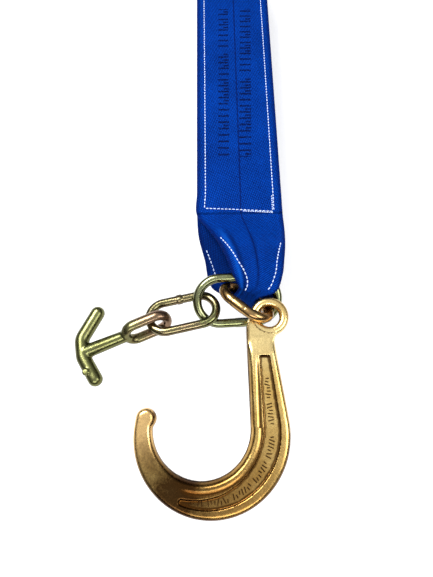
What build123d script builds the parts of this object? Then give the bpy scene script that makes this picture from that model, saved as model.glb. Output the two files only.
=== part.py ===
"""One leg of a vehicle tow bridle, laid flat: a sewn webbing strap with an eye at each end.

The lower eye holds an oblong master link, which carries a chain link and a forged T-hook, and a
coupling ring, which carries a forged J-hook. The upper eye holds the lifting link of the leg.
+Z is up from the surface the leg lies on, +Y runs along the strap to its upper end.
Millimetres throughout.
"""

import math
import os

from build123d import *

os.makedirs("parts", exist_ok=True)

# Webbing strap
WEB_WIDTH = 101.6
PLY = 2.8
PLY_GAP = 0.15
BOX_START_Y = 88.0
BOX_END_Y = 478.0
INNER_PLY_INSET = 1.2
BACK_Z = PLY / 2
PLY_STEP = PLY + PLY_GAP
FRONT_Z = BACK_Z + 3 * PLY_STEP

# Sewing thread
THREAD_WIDTH = 1.3
THREAD_RISE = 0.45
THREAD_SINK = 0.1
SIDE_ROW_X = 40.5
CROSS_ROW_DROP = 5.6

# Links: radius of the wire, half of the straight side, radius of the bends (to the wire's middle)
MASTER_WIRE, MASTER_HALF, MASTER_BEND = 4.9, 19.2, 24.8
CHAIN_WIRE, CHAIN_HALF, CHAIN_BEND = 4.8, 18.7, 17.7
RING_WIRE, RING_HALF, RING_BEND = 5.5, 10.3, 17.5
UPPER_WIRE, UPPER_HALF, UPPER_BEND = 6.35, 31.75, 38.1

# How each link lies: middle point, then turns about X, Y and Z
MASTER_POSE = Location((-6.2, -19.1, 16.25), (25.2, 2.6, 3.4), Extrinsic.XYZ)
CHAIN_POSE = Location((-65.6, -32.9, 15.3), (-13.7, 0.9, 12.4), Extrinsic.XYZ)
RING_POSE = Location((2.8, -23.8, 24.05), (-48.9, -8.2, -41.3), Extrinsic.XYZ)
T_EYE_POSE = Location((-104.0, -48.0, 16.0), (67.0, -0.4, 22.6), Extrinsic.XYZ)
UPPER_POSE = Location((0, 647.0, 8.4), (0, 1.1, 90), Extrinsic.XYZ)

# Forged T-hook
T_WIRE, T_EYE_HALF, T_EYE_BEND = 4.9, 11.4, 11.8
T_EYE_DEPTH = 6.1
T_NECK_R = 6.5
T_BAR_R = 7.7
T_BAR_POINTS = [(-159.6, -29.8), (-174.6, -58.5), (-171.2, -78.0), (-156.8, -101.0)]
T_BAR_BEND = 14
T_BAR_Z = T_BAR_R + 0.2

# Forged J-hook, drawn in its own plane with the eye's middle at the origin
HOOK_EYE = (25.9, -40.7, 24.6)
HOOK_TILT = 5.0
EYE_OUTER_R = 20.4
EYE_HOLE_R = 10.9
EYE_THICK = 11.0
HOOK_THICK = 16.0
HOOK_EDGE_R = 5.4
THROAT_CENTRE = (-71.7, -111.4)
THROAT_R = 48.5
BOW_RIGHT_CENTRE, BOW_RIGHT_R = (-62.6, -115.8), 78.5
BOW_LEFT_CENTRE, BOW_LEFT_R = (-62.6, -118.1), 76.2
KNOB_CENTRE = (-126.7, -101.0)
KNOB_R = 10.2
CHANNEL_DEPTH = 2.0


def polar(centre, radius, degrees):
    """Point at an angle on a circle."""
    angle = math.radians(degrees)
    return (centre[0] + radius * math.cos(angle), centre[1] + radius * math.sin(angle))


def oblong_link(pose, half, bend, wire, depth=None):
    """A link with two straight sides and two half-round bends, of round or oval wire."""
    plane = Plane(pose)
    with BuildPart() as link:
        with BuildLine(plane) as path:
            lower_side = Line((-half, -bend), (half, -bend))
            right_bend = JernArc(lower_side @ 1, lower_side % 1, bend, 180)
            upper_side = Line(right_bend @ 1, (-half, bend))
            JernArc(upper_side @ 1, upper_side % 1, bend, 180)
        with BuildSketch(Plane(path.line @ 0, x_dir=plane.z_dir, z_dir=path.line % 0)):
            Ellipse(depth or wire, wire)
        sweep(path=path.line)
    return link.part


def web_stations(edges):
    """Section planes of a web whose two edges are given station by station."""
    middles = [(Vector(*left) + Vector(*right)) / 2 for left, right in edges]
    planes = []
    for index, (left, right) in enumerate(edges):
        before = middles[max(index - 1, 0)]
        after = middles[min(index + 1, len(edges) - 1)]
        across = Vector(*right) - Vector(*left)
        along = after - before
        if index in (0, len(edges) - 1):
            along = Vector(0, math.copysign(1, along.Y), 0)
        face_normal = along.cross(across)
        planes.append(Plane(middles[index], x_dir=across, z_dir=across.cross(face_normal)))
    return planes


def web_through(edges, first, last):
    """A band of webbing lofted through its edge stations, from the first one to the last."""
    stations = list(zip(web_stations(edges), edges))
    with BuildPart() as band:
        for plane, (left, right) in stations[first : last + 1]:
            width = (Vector(*right) - Vector(*left)).length
            with BuildSketch(plane):
                Rectangle(width, PLY)
        loft(ruled=True)
    return band.part


# Edge stations of the lower eye, left and right, from the front seam round the fold to the back
half_web = WEB_WIDTH / 2
LOWER_EYE = [
    ((-half_web, BOX_START_Y, FRONT_Z), (half_web, BOX_START_Y, FRONT_Z)),
    ((-38.5, 68.0, 16.0), (50.7, 66.0, 15.0)),
    ((-26.5, 45.0, 26.0), (48.5, 43.0, 25.5)),
    ((-17.0, 20.0, 34.5), (44.5, 19.0, 34.5)),
    ((-12.5, 5.0, 35.6), (41.5, 2.0, 35.6)),
    ((-9.0, -2.0, 32.5), (35.0, -14.5, 32.3)),
    ((-5.5, -9.0, 24.0), (14.8, -21.2, 24.3)),
    ((-10.0, -12.5, 16.5), (12.0, -25.6, 16.3)),
    ((-14.0, -14.5, 10.5), (14.0, -28.8, 9.8)),
    ((-17.5, -14.5, 4.5), (24.0, -28.0, 4.3)),
    ((-19.5, -11.0, BACK_Z), (29.0, -22.0, BACK_Z)),
    ((-34.0, 0.0, BACK_Z), (38.5, -3.0, BACK_Z)),
    ((-42.0, 34.0, BACK_Z), (46.0, 32.0, BACK_Z)),
    ((-49.5, 67.0, BACK_Z), (50.5, 66.0, BACK_Z)),
    ((-half_web, BOX_START_Y, BACK_Z), (half_web, BOX_START_Y, BACK_Z)),
]

# Upper eye, symmetrical: half width, place along the strap and height of each station
UPPER_EYE = [
    (half_web, BOX_END_Y, FRONT_Z),
    (45.0, 500.0, 15.0),
    (34.0, 530.0, 25.0),
    (27.0, 560.0, 30.0),
    (25.5, 580.0, 29.5),
    (25.0, 593.0, 25.0),
    (25.0, 600.0, 16.0),
    (25.0, 597.0, 6.0),
    (25.0, 590.0, BACK_Z),
    (27.0, 560.0, BACK_Z),
    (36.0, 520.0, BACK_Z),
    (half_web, BOX_END_Y, BACK_Z),
]
UPPER_CREST = 5
upper_edges = [((half, y, z), (-half, y, z)) for half, y, z in UPPER_EYE]


def straight_ply(height, inset=0.0, shift=0.0):
    """One flat ply between the two seams."""
    with BuildPart() as ply:
        with BuildSketch(Plane.XY.offset(height - PLY / 2)):
            with Locations((shift, (BOX_START_Y + BOX_END_Y) / 2)):
                Rectangle(WEB_WIDTH - 2 * inset, BOX_END_Y - BOX_START_Y)
        extrude(amount=PLY)
    return ply.part


# The outer web is one endless band: front ply, upper eye, back ply and lower eye
with BuildPart() as outer_web:
    add(straight_ply(FRONT_Z))
    add(web_through(LOWER_EYE, 0, len(LOWER_EYE) - 1))
    add(straight_ply(BACK_Z))
    add(web_through(upper_edges, 0, UPPER_CREST))
    add(web_through(upper_edges, UPPER_CREST, len(upper_edges) - 1))
outer_web.part.label = "outer_web"

with BuildPart() as inner_ply_front:
    add(straight_ply(BACK_Z + 2 * PLY_STEP, INNER_PLY_INSET, -0.9))
inner_ply_front.part.label = "inner_ply_front"

with BuildPart() as inner_ply_back:
    add(straight_ply(BACK_Z + PLY_STEP, INNER_PLY_INSET, 0.7))
inner_ply_back.part.label = "inner_ply_back"

FRONT_TOP = FRONT_Z + PLY / 2


def flat_row(start, end):
    """One seam of thread, standing a little proud of the front ply."""
    with BuildPart() as row:
        with BuildSketch(Plane.XY.offset(FRONT_TOP - THREAD_SINK)):
            with BuildLine():
                Line(start, end)
            trace(line_width=THREAD_WIDTH)
        extrude(amount=THREAD_RISE + THREAD_SINK)
    return row.part


cross_left = (-SIDE_ROW_X + 1.0, BOX_START_Y + CROSS_ROW_DROP + 3.5)
cross_right = (SIDE_ROW_X - 1.0, BOX_START_Y + 3.5)
row_gap = THREAD_WIDTH + 0.3

with BuildPart() as seam_left:
    add(flat_row((-SIDE_ROW_X, cross_left[1] - 1.0), (-SIDE_ROW_X, BOX_END_Y - 4.0)))
seam_left.part.label = "seam_left"

with BuildPart() as seam_right:
    add(flat_row((SIDE_ROW_X, cross_right[1] + 3.0), (SIDE_ROW_X, BOX_END_Y - 4.0)))
seam_right.part.label = "seam_right"

with BuildPart() as cross_seam_lower:
    add(flat_row(cross_left, cross_right))
cross_seam_lower.part.label = "cross_seam_lower"

with BuildPart() as back_tack:
    tack_start = (4.0, (cross_left[1] + cross_right[1]) / 2 - row_gap)
    tack_end = (cross_right[0], cross_right[1] - row_gap)
    add(flat_row(tack_start, tack_end))
    return_x = SIDE_ROW_X - row_gap
    add(flat_row((return_x, cross_right[1] + 2.0), (return_x, cross_right[1] + 22.0)))
back_tack.part.label = "back_tack"

with BuildPart() as cross_seam_upper:
    add(flat_row((-SIDE_ROW_X, BOX_END_Y - 2.6), (SIDE_ROW_X, BOX_END_Y - 2.6)))
cross_seam_upper.part.label = "cross_seam_upper"


def hem_row(edges, first, fractions):
    """A seam that follows the web's outer face, at a share of its width at each station."""
    planes = web_stations(edges)
    with BuildPart() as row:
        for index, share in enumerate(fractions, start=first):
            left, right = edges[index]
            width = (Vector(*right) - Vector(*left)).length
            with BuildSketch(planes[index]):
                with Locations(((share - 0.5) * width, PLY / 2 + (THREAD_RISE - THREAD_SINK) / 2)):
                    Rectangle(THREAD_WIDTH, THREAD_RISE + THREAD_SINK)
        loft(ruled=True)
    return row.part


LOWER_FRONT_LEFT = (0.05, 0.09, 0.17, 0.26, 0.29)
LOWER_FRONT_RIGHT = (0.95, 0.93, 0.86, 0.83, 0.84)

with BuildPart() as hem_lower_left:
    add(hem_row(LOWER_EYE, 1, LOWER_FRONT_LEFT))
hem_lower_left.part.label = "hem_lower_left"

with BuildPart() as hem_lower_right:
    add(hem_row(LOWER_EYE, 1, LOWER_FRONT_RIGHT))
hem_lower_right.part.label = "hem_lower_right"

UPPER_HEM = (0.1, 0.15, 0.17, 0.16)

with BuildPart() as hem_upper_left:
    add(hem_row(upper_edges, 1, UPPER_HEM))
hem_upper_left.part.label = "hem_upper_left"

with BuildPart() as hem_upper_right:
    add(hem_row(upper_edges, 1, [1 - share for share in UPPER_HEM]))
hem_upper_right.part.label = "hem_upper_right"


def back_row(points):
    """A seam on the inner face of the back leg, which lies flat."""
    with BuildPart() as row:
        with BuildSketch(Plane.XY.offset(BACK_Z + PLY / 2 - THREAD_SINK)):
            with BuildLine():
                Polyline(points)
            trace(line_width=THREAD_WIDTH)
        extrude(amount=THREAD_RISE + THREAD_SINK)
    return row.part


with BuildPart() as back_row_lower_left:
    add(back_row([(-28.0, 4.0), (-33.0, 34.0), (-40.5, 67.0)]))
back_row_lower_left.part.label = "back_row_lower_left"

with BuildPart() as back_row_lower_right:
    add(back_row([(30.0, 4.0), (37.0, 34.0), (41.0, 67.0)]))
back_row_lower_right.part.label = "back_row_lower_right"

with BuildPart() as back_row_upper_left:
    add(back_row([(-20.0, 575.0), (-27.0, 530.0), (-38.0, 500.0)]))
back_row_upper_left.part.label = "back_row_upper_left"

with BuildPart() as back_row_upper_right:
    add(back_row([(20.0, 575.0), (27.0, 530.0), (38.0, 500.0)]))
back_row_upper_right.part.label = "back_row_upper_right"

# Links
with BuildPart() as master_link:
    add(oblong_link(MASTER_POSE, MASTER_HALF, MASTER_BEND, MASTER_WIRE))
master_link.part.label = "master_link"

with BuildPart() as chain_link:
    add(oblong_link(CHAIN_POSE, CHAIN_HALF, CHAIN_BEND, CHAIN_WIRE))
chain_link.part.label = "chain_link"

with BuildPart() as coupling_ring:
    add(oblong_link(RING_POSE, RING_HALF, RING_BEND, RING_WIRE))
coupling_ring.part.label = "coupling_ring"

with BuildPart() as upper_link:
    add(oblong_link(UPPER_POSE, UPPER_HALF, UPPER_BEND, UPPER_WIRE))
upper_link.part.label = "upper_link"

# T-hook: an oval eye, a tapered shank and a bent cross-bar with a forged lug
eye_plane = Plane(T_EYE_POSE)
neck = eye_plane.from_local_coords((-T_EYE_HALF - T_EYE_BEND, 0, 0))
junction = Vector(-171.0, -72.8, T_BAR_Z)
shank_axis = (junction - neck).normalized()

with BuildPart() as t_hook:
    add(oblong_link(T_EYE_POSE, T_EYE_HALF, T_EYE_BEND, T_WIRE, T_EYE_DEPTH))
    with BuildSketch(Plane(neck - shank_axis * 1.0, z_dir=shank_axis)):
        Circle(T_NECK_R)
    with BuildSketch(Plane(junction, z_dir=shank_axis)):
        Circle(T_BAR_R)
    loft()
    with BuildLine(Plane.XY.offset(T_BAR_Z)) as bar_path:
        FilletPolyline(*T_BAR_POINTS, radius=T_BAR_BEND)
    with BuildSketch(Plane(bar_path.line @ 0, z_dir=bar_path.line % 0)):
        Circle(T_BAR_R)
    sweep(path=bar_path.line)
    for end in (bar_path.line @ 0, bar_path.line @ 1):
        with Locations(end):
            Sphere(T_BAR_R)
    with Locations(Location((-165.6, -94.8, T_BAR_Z + 5.0))):
        Cylinder(3.4, 8.0)
t_hook.part.label = "t_hook"

# J-hook: a flat forged bow with a round eye and a recessed channel on its face
hook_plane = Plane(Location(HOOK_EYE, (HOOK_TILT, 0, 0)))
tip_offset = Vector(*KNOB_CENTRE) - Vector(*BOW_LEFT_CENTRE)
tip_bearing = math.degrees(math.atan2(tip_offset.Y, tip_offset.X))
tip_angle = tip_bearing + math.degrees(math.acos((BOW_LEFT_R - KNOB_R) / tip_offset.length))
bow_bottom = polar(BOW_RIGHT_CENTRE, BOW_RIGHT_R, 270)
neck_right = (3.6, -25.0)
shoulder_left = (-24.7, -16.0)
notch = (-120.1, -108.8)

with BuildPart() as j_hook:
    with BuildSketch(hook_plane) as bow_face:
        with BuildLine():
            right_side = Line(neck_right, polar(BOW_RIGHT_CENTRE, BOW_RIGHT_R, 8.2))
            ThreePointArc(right_side @ 1, polar(BOW_RIGHT_CENTRE, BOW_RIGHT_R, -40), bow_bottom)
            tip_start = polar(BOW_LEFT_CENTRE, BOW_LEFT_R, tip_angle)
            ThreePointArc(bow_bottom, polar(BOW_LEFT_CENTRE, BOW_LEFT_R, 225), tip_start)
            tip_side = Line(tip_start, polar(KNOB_CENTRE, KNOB_R, tip_angle))
            ThreePointArc(tip_side @ 1, polar(KNOB_CENTRE, KNOB_R, 60), notch)
            throat_end = polar(THROAT_CENTRE, THROAT_R, 0.9)
            ThreePointArc(notch, polar(THROAT_CENTRE, THROAT_R, 270), throat_end)
            left_side = Line(throat_end, shoulder_left)
            shoulder = TangentArc(shoulder_left, polar((0, 0), EYE_OUTER_R - 3, 160), tangent=left_side % 1)
            eye_seat = Line(shoulder @ 1, polar((0, 0), EYE_OUTER_R - 3, 300))
            Line(eye_seat @ 1, neck_right)
        make_face()
        neck_corner = bow_face.vertices().sort_by_distance(Vector(*neck_right))[0]
        fillet(neck_corner, radius=12)
        notch_corner = bow_face.vertices().sort_by_distance(Vector(*notch))[0]
        fillet(notch_corner, radius=6)
    extrude(amount=HOOK_THICK / 2, both=True)
    rims = j_hook.edges().filter_by(
        lambda edge: abs(hook_plane.to_local_coords(edge @ 0.5).Z) > HOOK_THICK / 2 - 0.01
        and (hook_plane.to_local_coords(edge @ 0.5) - Vector(-4.3, -5.6, 0)).length > 12.0
    )
    fillet(rims, HOOK_EDGE_R)
    with BuildSketch(hook_plane):
        Circle(EYE_OUTER_R - 1.4)
    extrude(amount=HOOK_THICK, both=True, mode=Mode.SUBTRACT)
    with BuildSketch(Plane(hook_plane.origin, x_dir=hook_plane.x_dir, z_dir=hook_plane.y_dir)):
        with Locations(((EYE_OUTER_R + EYE_HOLE_R) / 2, 0)):
            RectangleRounded(EYE_OUTER_R - EYE_HOLE_R, EYE_THICK, 4.4)
    revolve(axis=Axis(hook_plane.origin, hook_plane.z_dir))
    with BuildSketch(hook_plane.offset(HOOK_THICK / 2 - CHANNEL_DEPTH)):
        with BuildLine():
            channel_top = Line((-12.5, -40.4), (-1.9, -40.5))
            channel_side = Line(channel_top @ 1, (5.6, -104.5))
            back_middle = polar((-65.5, -114.0), 71.0, -50)
            channel_back = ThreePointArc(channel_side @ 1, back_middle, (-92.2, -180.0))
            channel_tip = ThreePointArc(channel_back @ 1, (-94.2, -177.0), (-90.0, -174.5))
            front_middle = polar((-70.0, -113.0), 58.5, -50)
            channel_front = ThreePointArc(channel_tip @ 1, front_middle, (-10.6, -111.0))
            Line(channel_front @ 1, channel_top @ 0)
        make_face()
    extrude(amount=CHANNEL_DEPTH + 1.0, mode=Mode.SUBTRACT)
j_hook.part.label = "j_hook"

PIECES = (
    outer_web,
    inner_ply_front,
    inner_ply_back,
    seam_left,
    seam_right,
    cross_seam_lower,
    back_tack,
    cross_seam_upper,
    hem_lower_left,
    hem_lower_right,
    hem_upper_left,
    hem_upper_right,
    back_row_lower_left,
    back_row_lower_right,
    back_row_upper_left,
    back_row_upper_right,
    master_link,
    chain_link,
    coupling_ring,
    upper_link,
    t_hook,
    j_hook,
)

for piece in PIECES:
    export_step(piece.part, f"parts/{piece.part.label}.step")
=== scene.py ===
"""Looks of the tow bridle leg: webbing, sewing, plated links and forged hooks on a studio floor."""

import math

import bpy
import numpy as np
from mathutils import Matrix, Vector


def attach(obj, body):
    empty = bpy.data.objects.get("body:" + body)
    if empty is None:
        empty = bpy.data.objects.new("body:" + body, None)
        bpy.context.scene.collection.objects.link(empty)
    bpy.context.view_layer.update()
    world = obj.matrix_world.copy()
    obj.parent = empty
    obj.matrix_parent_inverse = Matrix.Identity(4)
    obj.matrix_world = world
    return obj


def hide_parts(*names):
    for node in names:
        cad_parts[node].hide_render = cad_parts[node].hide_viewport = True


bl_info = {
    "name": "Tow bridle leg looks",
    "version": (1, 0, 0),
    "blender": (4, 5, 0),
    "location": "View3D > Sidebar > Bridle",
    "description": "Builds the webbing, sewing, links and hooks of one tow bridle leg",
    "category": "Object",
}

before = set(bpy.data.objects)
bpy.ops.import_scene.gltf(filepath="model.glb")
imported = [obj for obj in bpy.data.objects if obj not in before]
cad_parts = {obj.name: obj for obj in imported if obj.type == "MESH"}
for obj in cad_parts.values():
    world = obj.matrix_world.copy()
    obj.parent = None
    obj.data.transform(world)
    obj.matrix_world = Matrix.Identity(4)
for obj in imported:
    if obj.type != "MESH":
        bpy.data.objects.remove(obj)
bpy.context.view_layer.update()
MM = 0.001

PLY = 2.8
PLY_STEP = 2.95
BACK_Z = PLY / 2
FRONT_Z = BACK_Z + 3 * PLY_STEP
HALF_WEB = 50.8
BOX_START = 88.0
BOX_END = 478.0

# Heights that tell an eye's front leg from its back leg
FRONT_LEG_Z = 14.0
BACK_LEG_Z = 8.0

# Edge stations of the lower eye, left then right, from the front leg round the fold to the back leg
LOWER_EYE = [
    ((-50.8, 88, FRONT_Z), (50.8, 88, FRONT_Z)),
    ((-38.5, 68, 16), (50.7, 66, 15)),
    ((-26.5, 45, 26), (48.5, 43, 25.5)),
    ((-17, 20, 34.5), (44.5, 19, 34.5)),
    ((-12.5, 5, 35.6), (41.5, 2, 35.6)),
    ((-9, -2, 32.5), (35, -14.5, 32.3)),
    ((-5.5, -9, 24), (14.8, -21.2, 24.3)),
    ((-10, -12.5, 16.5), (12, -25.6, 16.3)),
    ((-14, -14.5, 10.5), (14, -28.8, 9.8)),
    ((-17.5, -14.5, 4.5), (24, -28, 4.3)),
    ((-19.5, -11, BACK_Z), (29, -22, BACK_Z)),
    ((-34, 0, BACK_Z), (38.5, -3, BACK_Z)),
    ((-42, 34, BACK_Z), (46, 32, BACK_Z)),
    ((-49.5, 67, BACK_Z), (50.5, 66, BACK_Z)),
    ((-50.8, 88, BACK_Z), (50.8, 88, BACK_Z)),
]

# Upper eye: half width, place along the strap and height, from the back leg round to the front leg
UPPER_EYE = [
    (50.8, 478, BACK_Z),
    (36, 520, BACK_Z),
    (27, 560, BACK_Z),
    (25, 590, BACK_Z),
    (25, 597, 6),
    (25, 600, 16),
    (25, 593, 25),
    (25.5, 580, 29.5),
    (27, 560, 30),
    (34, 530, 25),
    (45, 500, 15),
    (50.8, 478, FRONT_Z),
]

# Links: middle point, turns about X, Y and Z in degrees, half side, bend radius, wire radius
MASTER = ((-6.2, -19.1, 16.25), (25.2, 2.6, 3.4), 19.2, 24.8, 4.9)
CHAIN = ((-65.6, -32.9, 15.3), (-13.7, 0.9, 12.4), 18.7, 17.7, 4.8)
RING = ((2.8, -23.8, 24.05), (-48.9, -8.2, -41.3), 10.3, 17.5, 5.5)
UPPER = ((0, 647, 8.4), (0, 1.1, 90), 31.75, 38.1, 6.35)
HOOK_EYE = (25.9, -40.7, 24.6)
HOOK_TILT = math.radians(5.0)
# Places in metres where the plate takes lighter, darker and warmer tones
SHANK_SPOT = (0.013, -0.058, 0.03)
TIP_SPOT = (-0.1, -0.146, 0.02)
DARKEST_SPOT = (-0.074, -0.214, 0.012)
BOW_SPOT = (-0.02, -0.215, 0.012)
T_EYE_SPOT = (-0.093, -0.04, 0.016)

# Webbing pattern, in metres: pitch and lean of each yarn, selvedge and marker line
WARP_PITCH, WARP_LEAN = 0.0034, 0.0062
WEFT_PITCH, WEFT_LEAN = 0.0036, 0.0068
WEB_MIDDLE = HALF_WEB * MM
SELVEDGE = (0.0462, 0.0498)
MARKER_PLACE = 0.0524

# Print, in metres: low side, high side, lean share and seed of each column, then run, lean and cell
PRINT_COLUMNS = ((-0.0243, -0.0105, 1.0, 3.7), (0.0018, 0.0168, 2.1, 8.1))
PRINT_START, PRINT_END = 0.168, 0.417
PRINT_LEAN = 0.0165
PRINT_CELL = 0.0098
FRONT_FACE = 0.0108

# Blues of the webbing, of its painted glints, painted shade and painted light, and of stained thread
GLINT_BLUE = (0.015, 0.16, 0.68)
SELVEDGE_BLUE = (0.0, 0.008, 0.09)
MARKER_BLUE = (0.001, 0.006, 0.07)
PAINTED_SHADE_BLUE = (0.0, 0.005, 0.05)
LIT_BLUE = (0.004, 0.12, 0.66)
PRINT_BLUE = (0.001, 0.005, 0.045)
STAIN_BLUE = (0.42, 0.55, 0.86)

# Painted shade and painted reflection on the slopes of plated metal: turn and start of the sine of flank
SLOPE_TURN, SLOPE_START = 8.6, 1.12

# Facts for painted shade: height in millimetres that counts as a full groove, and rounds of evening out
GROOVE_HEIGHT = 0.05
GROOVE_ROUNDS = 5

# Counts of points: columns across one face of the band, stations on a link's side and on its bend
BAND_COLUMNS = 47
SIDE_STATIONS = 40
BEND_STATIONS = 44

# Half width of the inner plies
HALF_PLY = 49.6

# J-hook in its own plane, in millimetres: throat and bow circles, shank's inner face, half of the eye
THROAT_CENTRE, THROAT_RADIUS = (-71.7, -111.4), 48.5
BOW_CENTRE, BOW_RADIUS = (-62.6, -115.8), 78.5
SHANK_FACE = -24.5
EYE_HALF = 5.5

# How far the J-hook's faces are drawn down at the throat, over what reach, and the channel's depth
DRAW_DROP, DRAW_REACH = 3.4, 7.0
CHANNEL_DROP = 0.9

# Strokes in the J-hook's channel: circle round the bow, spacing on shank and bow, height and random seed
STROKE_CENTRE, STROKE_RADIUS = (-67.8, -113.6), 65.2
SHANK_STEP, BOW_STEP = 3.1, 2.75
STROKE_HEIGHT = 6.15
STROKE_SEED = 11

# Stage: half side of the floor in millimetres, its glow, then camera place and aim in metres
FLOOR_REACH = 4000.0
FLOOR_GLOW = 0.6
CAMERA_PLACE = (-0.03125, -0.1604, 0.4667)
CAMERA_AIM = (-0.0289, 0, 0)

# Lamps: name, place and size in metres, watts
LAMP_AIM = (0, 0.1, 0)
LAMPS = (
    ("key", (-0.5, 0.45, 1.0), (0.7, 0.35), 17.0),
    ("fill", (0.8, -0.3, 0.9), (0.6, 0.6), 6.0),
    ("front", (0.0, -1.0, 0.8), (0.9, 0.3), 7.0),
)


# Shader graphs


class Wire:
    """A socket with arithmetic: +, -, *, / and comparisons become Math nodes."""

    def __init__(self, graph, socket):
        self.graph = graph
        self.socket = socket

    def _math(self, kind, first, second=0.0):
        return self.graph.node("ShaderNodeMath", {"operation": kind}, {0: first, 1: second})

    def __add__(self, other):
        return self._math("ADD", self, other)

    def __radd__(self, other):
        return self._math("ADD", other, self)

    def __sub__(self, other):
        return self._math("SUBTRACT", self, other)

    def __rsub__(self, other):
        return self._math("SUBTRACT", other, self)

    def __mul__(self, other):
        return self._math("MULTIPLY", self, other)

    def __rmul__(self, other):
        return self._math("MULTIPLY", other, self)

    def __truediv__(self, other):
        return self._math("DIVIDE", self, other)

    def __rtruediv__(self, other):
        return self._math("DIVIDE", other, self)

    def __gt__(self, other):
        return self._math("GREATER_THAN", self, other)

    def __lt__(self, other):
        return self._math("LESS_THAN", self, other)

    def call(self, kind, other=0.0):
        return self._math(kind, self, other)


class Graph:
    """One material's node tree, with short calls for the nodes used here."""

    def __init__(self, name, roughness=0.5, metallic=0.0):
        self.material = bpy.data.materials.new(name)
        self.material.use_nodes = True
        self.tree = self.material.node_tree
        self.surface = self.tree.nodes["Principled BSDF"]
        self.surface.inputs["Roughness"].default_value = roughness
        self.surface.inputs["Metallic"].default_value = metallic

    def node(self, kind, settings=None, inputs=None, output=0):
        made = self.tree.nodes.new(kind)
        for key, value in (settings or {}).items():
            setattr(made, key, value)
        for key, value in (inputs or {}).items():
            if isinstance(value, Wire):
                self.tree.links.new(value.socket, made.inputs[key])
            else:
                made.inputs[key].default_value = value
        return Wire(self, made.outputs[output])

    def place(self):
        return self.node("ShaderNodeTexCoord", output="Object")

    def axes(self, vector):
        split = {"kind": "ShaderNodeSeparateXYZ", "inputs": {0: vector}}
        return [self.node(**split, output=index) for index in range(3)]

    def noise(self, vector, scale, detail=3.0, rough=0.55):
        values = {"Vector": vector, "Scale": scale, "Detail": detail, "Roughness": rough}
        return self.node("ShaderNodeTexNoise", inputs=values)

    def spread(self, value, low, high, to_low=0.0, to_high=1.0):
        values = {0: value, 1: low, 2: high, 3: to_low, 4: to_high}
        return self.node("ShaderNodeMapRange", {"clamp": True}, values)

    def mix(self, factor, first, second):
        values = {"Factor": factor, "A": first, "B": second}
        made = self.tree.nodes.new("ShaderNodeMix")
        made.data_type = "RGBA"
        for key, value in values.items():
            named = [s for s in made.inputs if s.name == key]
            socket = next(s for s in named if key == "Factor" or s.type == "RGBA")
            if isinstance(value, Wire):
                self.tree.links.new(value.socket, socket)
            else:
                socket.default_value = value
        return Wire(self, next(s for s in made.outputs if s.type == "RGBA"))

    def bump(self, height, strength, distance):
        values = {"Height": height, "Strength": strength, "Distance": distance}
        return self.node("ShaderNodeBump", inputs=values)

    def feed(self, **sockets):
        names = {"color": "Base Color", "roughness": "Roughness", "normal": "Normal"}
        for key, value in sockets.items():
            self.tree.links.new(value.socket, self.surface.inputs[names[key]])


def rgb(red, green, blue):
    return (red, green, blue, 1.0)


def webbing_material(deep, bright):
    """Royal blue woven polyester: twill dots, painted glints, painted shade and light, darker selvedges,
    a marker line and blind print bars.
    """
    graph = Graph("webbing", roughness=0.62)
    place = graph.place()
    weave = graph.node("ShaderNodeAttribute", {"attribute_name": "weave"}, output="Vector")
    across, along, _ = graph.axes(weave)
    turn = 2 * math.pi
    warp = (across * (turn / WARP_PITCH) + along * (turn / WARP_LEAN)).call("SINE")
    weft = (along * (turn / WEFT_PITCH) - across * (turn / WEFT_LEAN)).call("SINE")
    dots = graph.spread(warp * weft, -0.15, 0.6)
    fibre = graph.noise(place, 620.0, 4.0)
    patches = graph.noise(place, 26.0, 2.0)
    light = dots * 0.68 + graph.spread(fibre, 0.4, 0.66) * 0.2 + graph.spread(patches, 0.3, 0.7) * 0.14
    colour = graph.mix(light, rgb(*deep), rgb(*bright))
    glints = graph.spread(graph.noise(place, 1050.0, 2.0), 0.63, 0.72) * dots
    colour = graph.mix(glints * 0.4, colour, rgb(*GLINT_BLUE))
    edge = graph.spread((across - WEB_MIDDLE).call("ABSOLUTE"), *SELVEDGE)
    colour = graph.mix(edge * 0.75, colour, rgb(*SELVEDGE_BLUE))
    marker = graph.spread((across - MARKER_PLACE).call("ABSOLUTE"), 0.0005, 0.0012, 1.0, 0.0)
    x, y, z = graph.axes(place)
    top = (z > 0.0105) * (y > 0.0)
    colour = graph.mix(marker * top * 0.8, colour, rgb(*MARKER_BLUE))
    # Painted shade on the hem, the middle fold and the leg beneath, and painted light on the hem's round
    painted_shading = graph.node("ShaderNodeAttribute", {"attribute_name": "painted_shading"}, output="Fac")
    colour = graph.mix(graph.spread(painted_shading, 0.0, 1.0) * 0.85, colour, rgb(*PAINTED_SHADE_BLUE))
    colour = graph.mix(graph.spread(painted_shading, 0.0, -1.0) * 0.5, colour, rgb(*LIT_BLUE))
    lean = (y - PRINT_START) * PRINT_LEAN
    printed = None
    for low, high, lean_share, seed in PRINT_COLUMNS:
        column = x - lean * lean_share
        inside = (column > low) * (column < high)
        place_in_row = y / PRINT_CELL + seed
        cell = {"W": place_in_row.call("FLOOR")}
        share = place_in_row.call("FRACT")
        luck = graph.node("ShaderNodeTexWhiteNoise", {"noise_dimensions": "1D"}, cell, output="Value")
        first = graph.spread((share - 0.22).call("ABSOLUTE"), 0.13, 0.16, 1.0, 0.0)
        second = graph.spread((share - 0.68).call("ABSOLUTE"), 0.13, 0.16, 1.0, 0.0)
        second = second * (column > (low + high) / 2)
        bars = (first + second * (luck > 0.45)) * (luck > 0.12) * inside
        printed = bars if printed is None else printed + bars
    window = (y > PRINT_START) * (y < PRINT_END) * (z > FRONT_FACE)
    wear = graph.spread(fibre, 0.34, 0.5)
    colour = graph.mix(printed * window * wear, colour, rgb(*PRINT_BLUE))
    graph.surface.inputs["Specular IOR Level"].default_value = 0.03
    height = dots * 0.7 + fibre * 0.5
    graph.feed(color=colour, normal=graph.bump(height, 0.9, 0.0009))
    return graph.material


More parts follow.
